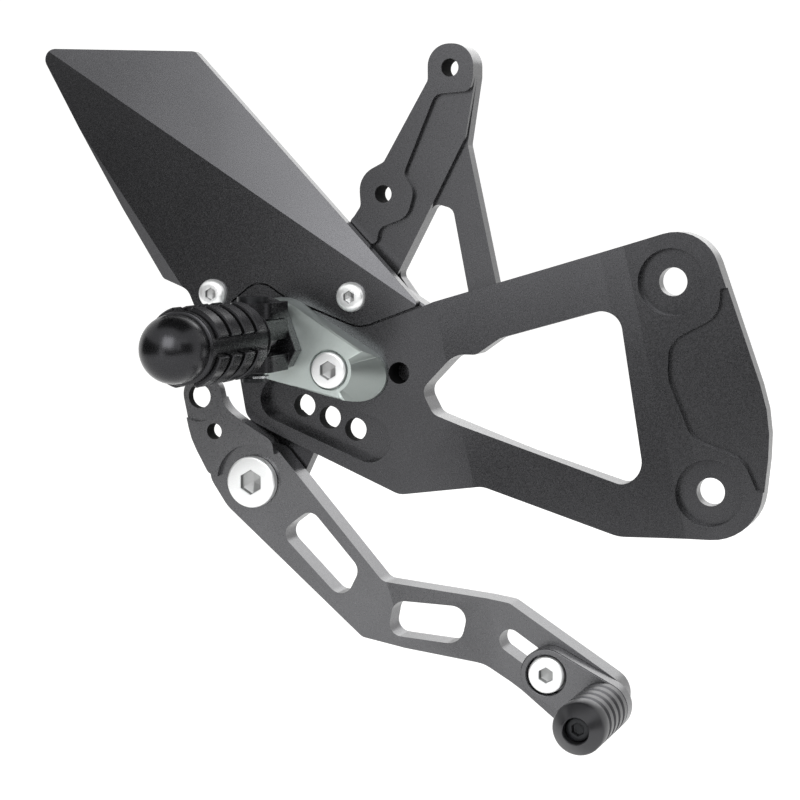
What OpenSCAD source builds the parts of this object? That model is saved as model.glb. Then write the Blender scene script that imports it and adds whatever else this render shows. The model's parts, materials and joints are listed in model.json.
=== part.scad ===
// Rear-set footrest for the brake side of a motorcycle: a machined side plate that
// carries a folding peg on an adjustable adapter, a heel guard, a bracket for the rear
// master cylinder and the brake lever with its adjustable toe peg.
// X points forward, Z up and -Y outboard, towards the rider's boot. The origin is the
// centre of the upper frame bolt hole on the inboard face of the side plate.

/* [Frame bolts] */
// Distance between the two frame bolt holes
frame_bolt_spacing = 76; // [70:0.5:84]
// Lean of the bolt line from the vertical, in degrees
frame_bolt_lean = 11; // [6:0.5:16]
// Diameter of the frame bolt holes
frame_bolt_bore = 10.2; // [8.4:0.1:12]
// Diameter of the counterbores round the frame bolts
frame_bolt_counterbore = 24; // [18:0.5:26]
// Depth of the counterbores
frame_bolt_counterbore_depth = 3.5; // [1:0.5:6]

/* [Side plate] */
// Thickness of the front pad, at the frame bolts
front_pad_t = 10; // [8:0.5:14]
// Thickness of the rear pad, at the peg
rear_pad_t = 12; // [10:0.5:14]
// Step outboard from the front pad to the rear pad
pad_step = 14; // [10:0.5:16]
// Depth of the scalloped pocket between the frame bolts
front_pocket_depth = 2.5; // [1:0.5:5]
// Depth of the pocket round the adjusting holes
slot_pocket_depth = 6; // [2:0.5:8]
// Diameter of the adjusting holes
adjust_hole_d = 8.5; // [6:0.1:9.5]
// Distance between the adjusting holes
adjust_pitch = 11; // [10:0.5:12]
// Number of open adjusting holes
adjust_holes = 3; // [2:1:3]
// Thickness of the ear behind the lever pivot
ear_t = 6; // [5:0.5:7]
// Height that the ear stands proud of the back of the plate
ear_boss = 1; // [0.5:0.25:2]

/* [Heel guard] */
// Thickness of the heel guard
guard_t = 4; // [3:0.5:5]
// Angle between the two large facets of the guard, in degrees
guard_facet_angle = 12; // [4:1:16]
// Slope of the bevel on the rear edge, in degrees
guard_bevel_angle = 26; // [15:1:30]

/* [Cylinder bracket] */
// Distance between the two master cylinder holes
cylinder_hole_spacing = 52; // [48:0.5:56]
// Diameter of the master cylinder holes
cylinder_hole_d = 6.5; // [5:0.1:8.4]
// Thickness of the leg and foot of the bracket
bracket_t = 6; // [4:0.5:8]
// Height of each step, from leg to arm and from arm to cylinder pad
bracket_step = 2.5; // [1:0.25:2.5]

/* [Footpeg] */
// Thickness of the peg adapter
adapter_t = 10; // [8:0.5:14]
// Distance from the adapter bolt to the peg
adapter_reach = 24.8; // [22:0.2:26]
// Thickness of the octagonal flange of the peg base
flange_t = 6; // [4:0.5:8]
// Diameter of the hinge pin
hinge_pin_d = 8; // [6:0.5:9]
// Height of the fork, over both tines
fork_h = 25; // [24:0.5:28]
// Gap between the tines
fork_gap = 13; // [12:0.5:15]
// Width of the fork
fork_w = 16; // [14:0.5:18]
// Length of the barrel with its toothed rings
barrel_l = 46; // [40:1:60]
// Diameter over the teeth of the barrel
barrel_d = 28; // [24:0.5:28]
// Number of toothed rings
barrel_rings = 5; // [3:1:6]
// Number of teeth on each ring
ring_teeth = 12; // [8:1:18]
// Diameter of the domed end cap
end_cap_d = 23.2; // [18:0.2:26]
// Wire diameter of the return spring
spring_wire = 1.2; // [0.8:0.1:1.3]

/* [Brake lever] */
// Thickness of the lever at the pivot and along the pedal arm
lever_t = 10; // [8:0.5:10.5]
// Height that the upper arm stands proud of the pedal arm
upper_arm_proud = 2.5; // [1:0.5:3]
// Thickness of the upper arm
upper_arm_t = 6.5; // [5:0.5:6.5]
// Thickness of the tongue at the pushrod hole
tongue_t = 4; // [3:0.5:5]
// Step inboard from the pivot to the toe end
lever_offset = 8; // [5:0.5:8]
// Diameter of the pushrod clevis hole
clevis_hole_d = 9; // [6:0.5:10]
// Diameter of the spring hole
spring_hole_d = 6; // [4:0.5:7]
// Diameter of the pivot bolt
pivot_bolt_d = 8; // [6:0.5:8.5]
// Diameter of the flat head of the pivot bolt
pivot_head_d = 18; // [16:0.5:20]
// Outer diameter of the lever bearings
bearing_od = 16; // [15.5:0.5:17]

/* [Toe peg] */
// Length of the toe peg, from the carrier to its end
toe_peg_l = 36; // [25:1:45]
// Diameter of the toe peg
toe_peg_d = 18.6; // [14:0.2:20]
// Thickness of the carrier
carrier_t = 7; // [6:0.5:9]
// Distance from the clamp bolt to the toe peg
carrier_reach = 23.2; // [20:0.2:26]
// Width of the slot in the lever
slot_w = 8.4; // [8.2:0.1:9]
// Length of the slot, between the centres of its ends
slot_l = 27; // [20:0.5:30]
// Place of the clamp bolt along the slot, from its upper end
toe_setting = 18.5; // [17.5:0.5:19.5]

/* [Hidden] */
$fn = 64;
through = 200;
skin = 1;
// Radial clearance of bolts, pins and bearings in their holes
fit = 0.03;
// Gap between faces that move past each other
slide_gap = 0.3;

// Depths, along Y: outboard faces are the more negative
front_face = -front_pad_t;
rear_face = -front_pad_t - pad_step;
rear_back = rear_face + rear_pad_t;
guard_back = rear_face + guard_t;
adapter_face = rear_face - adapter_t;
slot_floor = rear_face + slot_pocket_depth;
bracket_back = rear_back + bracket_t;
arm_face = rear_back - bracket_step;
pad_face = rear_back - 2 * bracket_step;
ear_back = rear_back + ear_boss;
ear_face = ear_back - ear_t;
spacer_t = 1.5;
lever_back = ear_face - spacer_t;
lever_face = lever_back - lever_t;
upper_arm_face = lever_face - upper_arm_proud;
upper_arm_back = upper_arm_face + upper_arm_t;
tongue_face = upper_arm_face + (upper_arm_t - tongue_t) / 2;
toe_face = lever_face + lever_offset;
toe_back = toe_face + lever_t;
carrier_face = toe_face - carrier_t;
flange_face = adapter_face - flange_t;

// Places in the side view, as [x, z]
upper_bolt = [0, 0];
lower_bolt = frame_bolt_spacing * [sin(frame_bolt_lean), -cos(frame_bolt_lean)];
adapter_bolt_at = [-120.8, -32.8];
adapter_lean = 148.9;
peg_at = adapter_bolt_at + adapter_reach * [cos(adapter_lean), sin(adapter_lean)];
adapter_end = adapter_bolt_at + [9.6, -2];
blind_hole_at = [-97.2, -33.9];
slot_pocket_end = [-109, -58.8];
adjust_lean = 158.2;
adjust_dir = [cos(adjust_lean), sin(adjust_lean)];
slot_pocket_r = 8.4;
slot_pocket_start = slot_pocket_end + 37.5 * adjust_dir;
first_adjust_hole = slot_pocket_end + 8 * adjust_dir;
guard_front_bolt = [-115.8, -6.5];
guard_rear_bolt = [-171.2, -6.2];
guard_tab_r = 6.4;
cylinder_low = [-105.9, 31];
cylinder_lean = 60.5;
cylinder_top = cylinder_low + cylinder_hole_spacing * [cos(cylinder_lean), sin(cylinder_lean)];
bracket_bolts = [[-97, -18.5], [-70.5, -14.5]];
pivot = [-153, -75.6];
clevis_hole = pivot + [-21.5, 31.2];
spring_hole = pivot + [-15, 18.4];
slot_start = pivot + [97.6, -55];
slot_lean = -33;
slot_dir = [cos(slot_lean), sin(slot_lean)];
slot_end = slot_start + slot_l * slot_dir;
toe_bolt_at = slot_start + toe_setting * slot_dir;
carrier_lean = -26;
toe_peg_at = toe_bolt_at + carrier_reach * [cos(carrier_lean), sin(carrier_lean)];

// Bolt sizes
m6_r = 3;
m8_r = 4;
m6_head_r = 5.3;
m6_head_h = 2.8;
m8_head_r = 6.8;
m8_head_h = 4;
m6_hex = 4;
m8_hex = 6;
m6_cap_r = 5;
m6_cap_h = 5;
m6_cap_hex = 5;
m8_cap_r = 6.5;
m8_cap_h = 7;
nut_across = 13;
nut_h = 5;
nut_flange_r = 8.5;
nut_flange_h = 1.4;
counterbore_gap = 0.6;
hole_play = 0.2;
guard_thread = 7;
bracket_thread = 5;
blind_wall = 1.5;

// Peg adapter
adapter_r = 15;
adapter_end_r = 9.6;
adapter_counterbore = 3;
adapter_cone_r = 4;

// Toe carrier
carrier_r = 9.6;
carrier_end_r = 9.3;
carrier_counterbore = 4.2;
clamp_head_h = 4.6;
toe_socket_depth = 5;

// Footpeg depths and radii
pin_r = hinge_pin_d / 2;
tine_r = fork_w / 2;
pin_y = flange_face - tine_r - 5.5;
barrel_start = pin_y - tine_r - 0.8;
ring_start = barrel_start - 3;
barrel_end = ring_start - barrel_l;
barrel_core_r = barrel_d / 2 - 3;
cap_r = end_cap_d / 2;
cap_straight = 6.5;
cap_rim = 2.2;
tongue_top = fork_gap / 2 - slide_gap;
tongue_bottom = -1;
pin_head_r = pin_r + 1.6;
pin_head_h = 2;
pin_tail = 3.6;
clip_h = 1;
clip_drop = 1.1;
clip_groove = 0.8;
clip_r = pin_r + 1.8;
ring_pitch = barrel_l / barrel_rings;
ring_t = ring_pitch * 0.52;
cap_screw_l = 16;
cap_screw_in = 6;

// Spring coil
spring_gap = 0.25;
spring_r = pin_r + spring_wire / 2 + spring_gap;
spring_room = tongue_bottom + fork_gap / 2;
spring_turns = 3;
spring_pitch = (spring_room - spring_wire - 2 * spring_gap) / spring_turns;
spring_steps = 20;
spring_sides = 8;

// Lever bearings
bearing_r = bearing_od / 2;
bearing_l = lever_t / 2;
pivot_r = pivot_bolt_d / 2;
race_wall = 1.2;
ball_r = (bearing_r - pivot_r - 2 * race_wall) / 2 - 0.04;
ball_ring_r = (bearing_r + pivot_r) / 2;
ball_count = 9;
head_lift = 0.5;
pivot_head_t = 3;
spotface_r = pivot_head_d / 2 + 5;
clevis_land_r = 9.4;

// Lengths and angles of vectors in the side view
function unit(v) = v / norm(v);
function turned(v, a) = [v[0] * cos(a) - v[1] * sin(a), v[0] * sin(a) + v[1] * cos(a)];

// One corner [x, z, radius] of an outline, as the points of its arc
function corner(a, p, b, step = 10) =
    let (
        at = [p[0], p[1]],
        back = unit([a[0], a[1]] - at),
        on = unit([b[0], b[1]] - at),
        half = acos(back * on) / 2,
        centre = at + unit(back + on) * p[2] / sin(half),
        spoke = at + back * p[2] / tan(half) - centre,
        turn = sign(cross(-back, on)) * (180 - 2 * half),
        n = ceil(abs(turn) / step)
    )
    [for (i = [0:n]) centre + turned(spoke, turn * i / n)];

// A closed outline from its corners, each with its own radius
function rounded(pts) =
    let (n = len(pts))
    [for (i = [0:n - 1]) each
        pts[i][2] == 0
            ? [[pts[i][0], pts[i][1]]]
            : corner(pts[(i + n - 1) % n], pts[i], pts[(i + 1) % n])];

// A corner placed from a named point
function from(p, dx, dz, r) = [p[0] + dx, p[1] + dz, r];

// Arc points round a centre
function arc(c, r, a0, a1, n = 18) =
    [for (i = [0:n]) c + r * [cos(a0 + (a1 - a0) * i / n), sin(a0 + (a1 - a0) * i / n)]];

// The belt-shaped outline round two circles
function link(c1, r1, c2, r2) =
    let (
        lean = atan2(c2[1] - c1[1], c2[0] - c1[0]),
        open = acos((r1 - r2) / norm(c2 - c1))
    )
    concat(arc(c1, r1, lean + open, lean + 360 - open), arc(c2, r2, lean - open, lean + open));

// A wheel outline with square teeth
function toothed(r_root, r_tip, teeth, phase) =
    let (pitch = 360 / teeth, share = [0, 0.12, 0.5, 0.62])
    [for (i = [0:teeth - 1]) for (k = [0:3])
        let (a = phase + pitch * (i + share[k]), r = (k == 1 || k == 2) ? r_tip : r_root)
        r * [cos(a), sin(a)]];

// Solid between two depths with the outline of its children
module slab(y_out, y_in) {
    translate([0, y_in, 0])
        rotate([90, 0, 0])
            linear_extrude(height = y_in - y_out)
                children();
}

// Round bar along Y at a place in the side view
module bar(at, r, y_out, y_in) {
    translate([at[0], y_in, at[1]])
        rotate([90, 0, 0])
            cylinder(r = r, h = y_in - y_out);
}

// Hexagonal socket or bar along Y
module hex_bar(at, across, y_out, y_in) {
    translate([at[0], y_in, at[1]])
        rotate([90, 0, 0])
            cylinder(d = across / cos(30), h = y_in - y_out, $fn = 6);
}

// Ring along Y
module ring(at, r_out, r_in, y_out, y_in) {
    difference() {
        bar(at, r_out, y_out, y_in);
        bar(at, r_in, y_out - skin, y_in + skin);
    }
}

// Prism whose section is drawn in the plane of one direction of the side view and Y
module section_prism(lean) {
    rotate([0, -lean, 0])
        translate([0, 0, -through * 1.5])
            linear_extrude(height = through * 3)
                children();
}

// Button-head screw with a hex socket, from its seat outboard and its shank inboard
module button_screw(at, seat, r, length, head_r, head_h, across) {
    difference() {
        union() {
            bar(at, r - fit, seat - 0.1, seat + length);
            translate([at[0], seat, at[1]])
                rotate([90, 0, 0])
                    rotate_extrude()
                        polygon(concat(
                            [[0, 0], [head_r, 0], [head_r, head_h * 0.25]],
                            [for (a = [10:10:60]) [
                                head_r * (0.62 + 0.38 * cos(a * 1.5)),
                                head_h * (0.25 + 0.75 * sin(a * 1.5))]],
                            [[0, head_h]]
                        ));
        }
        hex_bar(at, across, seat - head_h - skin, seat - head_h * 0.35);
    }
}

// Socket-head screw seen from the inboard side, its seat inboard and its shank outboard
module cap_screw(at, seat, r, length, head_r, head_h, across) {
    difference() {
        union() {
            bar(at, r - fit, seat - length, seat + 0.1);
            bar(at, head_r, seat, seat + head_h);
        }
        hex_bar(at, across, seat + head_h * 0.45, seat + head_h + skin);
    }
}

// Outline of the side plate as drawn on its outboard faces
plate_outline = rounded([
    from(upper_bolt, 11.5, 21.5, 16),
    from(lower_bolt, 21.8, 26, 60),
    from(lower_bolt, 17.5, -16.8, 18.5),
    from(lower_bolt, -31.5, -16.6, 12),
    [-65.5, -74.2, 8],
    [-97, -78.6, 7],
    [-140, -60.6, 0],
    [-157.8, -52.6, 6],
    from(peg_at, -19.5, -12, 20),
    from(peg_at, -19.8, 14, 5),
    [-159, 4, 5],
    [-136, 6, 10],
    from(guard_front_bolt, 1, 12, 8),
    [-96, -4.6, 4],
    [-88.6, -9.2, 0],
]);

// Outline of the ear that carries the lever pivot
ear_outline = rounded([
    [-158.4, -50, 0],
    from(pivot, -11.4, 4, 5),
    from(pivot, -11.4, -12, 11),
    from(pivot, 12.6, -11.5, 11),
    from(pivot, 15, 1, 6),
    [-131, -60, 0],
    [-140, -50, 0],
]);

// The triangular window through the plate
window_outline = rounded([
    [-88.6, -39.8, 4.5],
    [-76, -26.6, 8],
    [-68.5, -26.7, 3],
    [-60, -20.6, 4],
    [-18.6, -8.6, 7.5],
    [-8.6, -69, 8],
    [-16, -72.8, 5],
    [-84, -48.6, 5],
]);

// Where the front pad is lowered between the frame bolts
front_pocket_outline = rounded([
    from(upper_bolt, 50, -1.8, 0),
    from(upper_bolt, 17.6, -1.8, 1),
    from(upper_bolt, 17.2, -11.5, 9),
    from(upper_bolt, -0.6, -21, 9),
    from(upper_bolt, -0.8, -34.5, 14),
    from(lower_bolt, -6.2, 18.6, 10),
    from(lower_bolt, 12, 12.6, 12),
    from(lower_bolt, 17.2, 1, 2),
    from(lower_bolt, 50, 1, 0),
]);

// Lower edge of the heel guard, let down by the gap to the plate's ledge
function guard_lower_edge(drop) = [
    [-89.4 + drop, -9 - drop, 1.5],
    [-112.5, -17.6 - drop, 12],
    [-143, -6.2 - drop, 8],
    [-152.5, 0.2 - drop, 8],
    from(guard_rear_bolt, 6.6, -3.2 - drop, 3),
    from(guard_rear_bolt, 4.6, -8 - drop, 5),
    from(guard_rear_bolt, -6.5, -8 - drop, 6),
    from(guard_rear_bolt, -10.6, 1.6 - drop, 6),
];

guard_outline = rounded(concat(
    guard_lower_edge(0),
    [
        [-193.2, -0.9, 2.5],
        [-209.8, 25.8, 0],
        [-243.8, 86.2, 4],
        [-181, 84.2, 3],
    ]
));

// The recess that the guard lies in: open upwards, its lower edge just below the guard's
guard_recess_outline = rounded(concat(
    guard_lower_edge(0.8),
    [[-200, -4, 0], [-200, 60, 0], [-80, 60, 0], [-80, -6, 0]]
));

// Section across the plate: the rear pad, the slope and the front pad
section_lean = 13;
ridge_s = -83.5;
bend_s = -14;
back_knee_s = -61;
back_foot_s = -22;

module plate_section() {
    section_prism(section_lean)
        polygon(rounded([
            [-through, rear_face, 0],
            [ridge_s, rear_face, 0],
            [bend_s, front_face, 90],
            [through, front_face, 0],
            [through, 0, 0],
            [back_foot_s, 0, 30],
            [back_knee_s, rear_back, 30],
            [-through, rear_back, 0],
        ]));
}

// Crease of the heel guard: a point on it and its lean
crease_at = [-92.2, -8];
crease_lean = 57.7;

// Space of the guard's sheet, from its outboard face to its inboard one, across the crease
module guard_sheet(y_out, y_in) {
    tilt = tan(guard_facet_angle);
    translate([crease_at[0], 0, crease_at[1]])
        section_prism(crease_lean)
            polygon([
                [-through, y_out],
                [0, y_out],
                [60, y_out + 60 * tilt],
                [60, y_in + 60 * tilt],
                [0, y_in],
                [-through, y_in],
            ]);
}

module side_plate() {
    color("#3c3d40")
    difference() {
        union() {
            intersection() {
                slab(rear_face - skin, skin) polygon(plate_outline);
                plate_section();
            }
            slab(ear_face, ear_back) polygon(ear_outline);
            slab(rear_face + 0.5, rear_back - 1)
                polygon(link(guard_rear_bolt, guard_tab_r, guard_rear_bolt + [14, 3], 5));
        }
        for (at = [upper_bolt, lower_bolt]) {
            bar(at, frame_bolt_bore / 2, -through, skin);
            bar(at, frame_bolt_counterbore / 2, -through, front_face + frame_bolt_counterbore_depth);
        }
        slab(-through, front_face + front_pocket_depth) polygon(front_pocket_outline);
        slab(-through, skin) polygon(window_outline);
        slab(-through, slot_floor) polygon(link(slot_pocket_start, slot_pocket_r, slot_pocket_end, slot_pocket_r));
        for (i = [0:adjust_holes - 1])
            bar(first_adjust_hole + i * adjust_pitch * adjust_dir, adjust_hole_d / 2, -through, skin);
        intersection() {
            slab(-through, rear_back + skin) polygon(guard_recess_outline);
            guard_sheet(-through, guard_back);
        }
        for (at = [guard_front_bolt, guard_rear_bolt])
            bar(at, m6_r, -through, rear_back + skin);
        for (at = bracket_bolts)
            bar(at, m6_r, rear_back - bracket_thread - 1, skin);
        bar(adapter_bolt_at, m8_r, -through, rear_back + skin);
        bar(peg_at, m8_r, -through, rear_back + skin);
        bar(blind_hole_at, m8_r, -through, rear_back - blind_wall);
        bar(pivot, pivot_r, -through, skin);
    }
}

module heel_guard() {
    bevel_foot = [-186, -0.9];
    bevel_lean = 35.6;
    color("#4a4b4e")
    difference() {
        intersection() {
            slab(-through, 0) polygon(guard_outline);
            guard_sheet(rear_face, guard_back);
        }
        translate([bevel_foot[0], 0, bevel_foot[1]])
            section_prism(bevel_lean)
                polygon([
                    [0, rear_face],
                    [-40, rear_face + 40 * tan(guard_bevel_angle)],
                    [-40, rear_face - 10],
                    [0, rear_face - 10],
                ]);
        for (at = [guard_front_bolt, guard_rear_bolt])
            bar(at, m6_r + hole_play, -through, 0);
    }
}

module heel_guard_bolts() {
    color("#e8e9ea")
    for (at = [guard_front_bolt, guard_rear_bolt])
        button_screw(at, rear_face, m6_r, guard_t + guard_thread, m6_head_r, m6_head_h, m6_hex);
}

// Rear edge of the bracket, from the upper cylinder hole down past the lower one
bracket_rear_edge = [
    from(cylinder_top, -8.4, -4.4, 3),
    from(cylinder_low, 0.2, 11.6, 3),
    from(cylinder_low, -9.6, 6.6, 9),
    from(cylinder_low, -8.8, -4.4, 3),
];

// Round top of the bracket, from front to rear
bracket_top = [
    from(cylinder_top, 8.8, -3.4, 1.5),
    from(cylinder_top, 8.8, 8.6, 8),
    from(cylinder_top, -8.5, 8.6, 8),
];

// Full outline of the bracket, at the depth of its foot and leg
bracket_outline = rounded(concat(bracket_rear_edge, [
    [-119.5, 15.5, 4],
    [-108, -6, 12],
    [-105.5, -25.4, 5],
    [-91, -26.4, 5],
    [-78, -21.6, 3],
    [-63.4, -18.4, 5],
    [-62.6, -8, 0],
    from(cylinder_top, 5.2, -27.4, 2),
], bracket_top));

// The window between the arm, the leg and the foot
bracket_window = rounded([
    [-87.6, 27.6, 3],
    [-80.6, 25.6, 3.5],
    [-74.4, -5.6, 2.5],
    [-78, -8.4, 2.5],
    [-92.6, -10.6, 3],
    [-101.4, 1.4, 3],
]);

// The arm, one step above the leg, down to where the guard covers it
bracket_arm = rounded(concat(bracket_rear_edge, [
    from(cylinder_low, -15, -11, 3),
    [-103.6, -0.8, 2],
    [-101.4, 1.4, 0],
    [-87.6, 27.6, 0],
    from(cylinder_top, 5.2, -24.6, 0),
], bracket_top));

// The pad under the cylinder, one more step up
bracket_pad = rounded(concat(bracket_rear_edge, [
    from(cylinder_low, -12.6, -10, 0),
    [-108.8, 10.4, 2],
    [-107.6, 18.6, 4],
    [-96.6, 22.6, 7],
    [-94, 32, 6],
    [-98, 38.4, 3],
    from(cylinder_top, -5.6, -9.4, 4),
    from(cylinder_top, 7.6, -8.4, 3),
], bracket_top));

module cylinder_bracket() {
    color("#45464a")
    difference() {
        union() {
            slab(rear_back, bracket_back) polygon(bracket_outline);
            slab(arm_face, bracket_back) polygon(bracket_arm);
            slab(pad_face, bracket_back) polygon(bracket_pad);
        }
        slab(-through, skin) polygon(bracket_window);
        for (at = [cylinder_low, cylinder_top])
            bar(at, cylinder_hole_d / 2, -through, skin);
        for (at = bracket_bolts)
            bar(at, m6_r + hole_play, -through, skin);
    }
}

module cylinder_bracket_bolts() {
    color("#c9cacc")
    for (at = bracket_bolts)
        cap_screw(at, bracket_back, m6_r, bracket_t + bracket_thread, m6_cap_r, m6_cap_h, m6_cap_hex);
}

module peg_adapter() {
    color("#9fa8a6")
    difference() {
        slab(adapter_face, rear_face)
            polygon(link(peg_at + [-0.5, -2], adapter_r, adapter_end, adapter_end_r));
        // Cone on the front end
        intersection() {
            translate([adapter_end[0], adapter_face, adapter_end[1]])
                rotate([90, 0, 0])
                    rotate_extrude()
                        polygon([
                            [adapter_cone_r, skin],
                            [adapter_cone_r, 0],
                            [adapter_cone_r + 6.5, -6.5],
                            [30, -6.5],
                            [30, skin],
                        ]);
            translate([adapter_end[0] - 1, -through, adapter_end[1] - 50])
                cube([60, through, 100]);
        }
        bar(adapter_bolt_at, m8_head_r + counterbore_gap, -through, adapter_face + adapter_counterbore);
        bar(adapter_bolt_at, m8_r + hole_play, -through, 0);
        bar(peg_at, m8_r + hole_play, -through, 0);
    }
}

module adapter_bolt() {
    color("#e8e9ea")
    button_screw(adapter_bolt_at, adapter_face + adapter_counterbore, m8_r,
        adapter_t - adapter_counterbore + rear_pad_t - 1, m8_head_r, m8_head_h, m8_hex);
}

// Octagonal flange of the peg base, taller than wide
flange_lean = 20;
flange_outline = [
    [3, 13.6], [8.2, 9], [8.2, -9], [3, -13.6],
    [-3, -13.6], [-8.2, -9], [-8.2, 9], [-3, 13.6],
];

module peg_base() {
    tine = (fork_h - fork_gap) / 2;
    color("#202124")
    translate([peg_at[0], 0, peg_at[1]])
    difference() {
        union() {
            rotate([0, -flange_lean, 0])
                slab(flange_face, adapter_face) polygon(flange_outline);
            for (side = [-1, 1])
                translate([0, 0, side > 0 ? fork_gap / 2 : -fork_h / 2]) {
                    translate([0, pin_y, 0]) cylinder(r = tine_r, h = tine);
                    translate([-tine_r, pin_y, 0]) cube([fork_w, flange_face - pin_y, tine]);
                }
        }
        translate([0, pin_y, -through / 2]) cylinder(r = pin_r + fit, h = through);
        bar([0, 0], m8_r, flange_face - skin, 0);
    }
}

module peg_base_bolt() {
    color("#c9cacc")
    cap_screw(peg_at, rear_back, m8_r, rear_pad_t + adapter_t + flange_t - 0.5,
        m8_cap_r, m8_cap_h, m8_hex);
}

module hinge_pin() {
    bottom = -fork_h / 2 - pin_tail;
    color("#d5d7d9")
    translate([peg_at[0], pin_y, peg_at[1]])
    difference() {
        union() {
            translate([0, 0, bottom]) cylinder(r = pin_r, h = fork_h + pin_tail + 0.1);
            translate([0, 0, fork_h / 2]) cylinder(r = pin_head_r, h = pin_head_h);
        }
        translate([0, 0, -fork_h / 2 - clip_drop - clip_h])
            rotate_extrude()
                polygon([
                    [pin_r - clip_groove, 0],
                    [pin_r + skin, 0],
                    [pin_r + skin, clip_h],
                    [pin_r - clip_groove, clip_h],
                ]);
    }
}

module hinge_pin_clip() {
    color("#d5d7d9")
    translate([peg_at[0], pin_y, peg_at[1] - fork_h / 2 - clip_drop - clip_h + 0.1])
    difference() {
        cylinder(r = clip_r, h = clip_h - 0.2);
        translate([0, 0, -skin]) cylinder(r = pin_r - clip_groove + fit, h = 3);
        translate([-pin_r * 0.55, -20, -skin]) cube([pin_r * 1.1, 20, 3]);
    }
}

// Path of the return spring: a straight leg, the coil and a second leg
spring_n = spring_turns * spring_steps;
function spring_point(i) =
    let (
        a = 360 * i / spring_steps,
        z = -fork_gap / 2 + spring_gap + spring_wire / 2 + spring_pitch * i / spring_steps
    )
    [spring_r * cos(a), spring_r * sin(a), z];
spring_leg = tine_r - 2.6;
spring_path = concat(
    [spring_point(0) + [0, -spring_leg * 0.7, 0]],
    [for (i = [0:spring_n]) spring_point(i)],
    [spring_point(spring_n) + [0, spring_leg * 0.7, 0]]
);

// Round wire along a path of points, closed at both ends
module wire(path, r, sides) {
    n = len(path);
    points = [for (i = [0:n - 1])
        let (
            ahead = unit(path[min(i + 1, n - 1)] - path[max(i - 1, 0)]),
            side = unit(cross(ahead, [0, 0, 1])),
            up = cross(side, ahead)
        )
        for (k = [0:sides - 1])
            path[i] + r * (side * cos(360 * k / sides) + up * sin(360 * k / sides))];
    faces = concat(
        [[for (k = [0:sides - 1]) k]],
        [for (i = [0:n - 2]) for (k = [0:sides - 1])
            [i * sides + k, (i + 1) * sides + k, (i + 1) * sides + (k + 1) % sides]],
        [for (i = [0:n - 2]) for (k = [0:sides - 1])
            [i * sides + k, (i + 1) * sides + (k + 1) % sides, i * sides + (k + 1) % sides]],
        [[for (k = [sides - 1:-1:0]) (n - 1) * sides + k]]
    );
    polyhedron(points = points, faces = faces);
}

module peg_return_spring() {
    color("#c6c8ca")
    translate([peg_at[0], pin_y, peg_at[1]])
        wire(spring_path, spring_wire / 2, spring_sides);
}

module peg_barrel() {
    root_r = barrel_core_r;
    tongue_end = flange_face - slide_gap - pin_y;
    color("#1c1d1f")
    translate([peg_at[0], 0, peg_at[1]])
    difference() {
        union() {
            bar([0, 0], root_r, barrel_end, barrel_start);
            for (i = [0:barrel_rings - 1])
                slab(ring_start - i * ring_pitch - ring_t, ring_start - i * ring_pitch)
                    polygon(toothed(root_r - 0.5, barrel_d / 2, ring_teeth, i % 2 * 180 / ring_teeth));
            // Tongue: square where it stops the peg, round where the peg folds
            translate([0, pin_y, tongue_bottom])
                cylinder(r = tine_r, h = tongue_top - tongue_bottom);
            translate([0, pin_y, tongue_bottom])
                cube([tine_r, tongue_end, tongue_top - tongue_bottom]);
            translate([-tine_r, barrel_start - 1, tongue_bottom])
                cube([fork_w, pin_y - barrel_start + 1, tongue_top - tongue_bottom]);
        }
        translate([0, pin_y, -through / 2]) cylinder(r = pin_r + fit, h = through);
        bar([0, 0], m6_r, -through, barrel_end + cap_screw_l - cap_screw_in + 1);
    }
}

module peg_end_cap() {
    color("#151617")
    translate([peg_at[0], barrel_end, peg_at[1]])
        rotate([90, 0, 0])
            difference() {
                rotate_extrude($fn = 96)
                    polygon(concat(
                        [[0, 0], [cap_r + 0.9, 0], [cap_r + 0.9, cap_rim], [cap_r, cap_rim + 0.6]],
                        [for (a = [0:5:85]) [cap_r * cos(a), cap_straight + cap_r * sin(a)]],
                        [[0, cap_straight + cap_r]]
                    ));
                translate([0, 0, -skin]) cylinder(r = m6_r, h = cap_screw_in + 0.5 + skin);
            }
}

module end_cap_screw() {
    color("#c9cacc")
    translate([peg_at[0], 0, peg_at[1]])
    difference() {
        bar([0, 0], m6_r - fit, barrel_end - cap_screw_in, barrel_end + cap_screw_l - cap_screw_in);
        hex_bar([0, 0], 3, barrel_end - cap_screw_in - skin, barrel_end - cap_screw_in / 2);
    }
}

module lever_pivot_bolt() {
    head_seat = lever_face - head_lift;
    color("#e8e9ea")
    difference() {
        union() {
            bar(pivot, pivot_r - fit, head_seat, ear_back + nut_flange_h + nut_h + 0.6);
            bar(pivot, pivot_r + 1, head_seat - 0.1, lever_face);
            translate([pivot[0], head_seat, pivot[1]])
                rotate([90, 0, 0])
                    rotate_extrude($fn = 96)
                        polygon([
                            [0, 0],
                            [pivot_head_d / 2, 0],
                            [pivot_head_d / 2, pivot_head_t - 0.8],
                            [pivot_head_d / 2 - 0.8, pivot_head_t],
                            [0, pivot_head_t],
                        ]);
        }
        hex_bar(pivot, m8_hex, head_seat - pivot_head_t - skin, head_seat + 2);
    }
}

module lever_pivot_nut() {
    color("#c9cacc")
    difference() {
        union() {
            hex_bar(pivot, nut_across, ear_back + nut_flange_h, ear_back + nut_flange_h + nut_h);
            bar(pivot, nut_flange_r, ear_back, ear_back + nut_flange_h + 0.1);
        }
        bar(pivot, pivot_r, ear_back - skin, ear_back + 20);
    }
}

module pivot_spacer() {
    color("#c9cacc")
    ring(pivot, pivot_r + race_wall, pivot_r, lever_back, ear_face);
}

// A pair of bearing rings side by side in the lever's boss
module bearing_rings(r_out, r_in) {
    for (i = [0, 1])
        ring(pivot, r_out, r_in, lever_face + i * bearing_l, lever_face + (i + 1) * bearing_l - 0.02);
}

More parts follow.
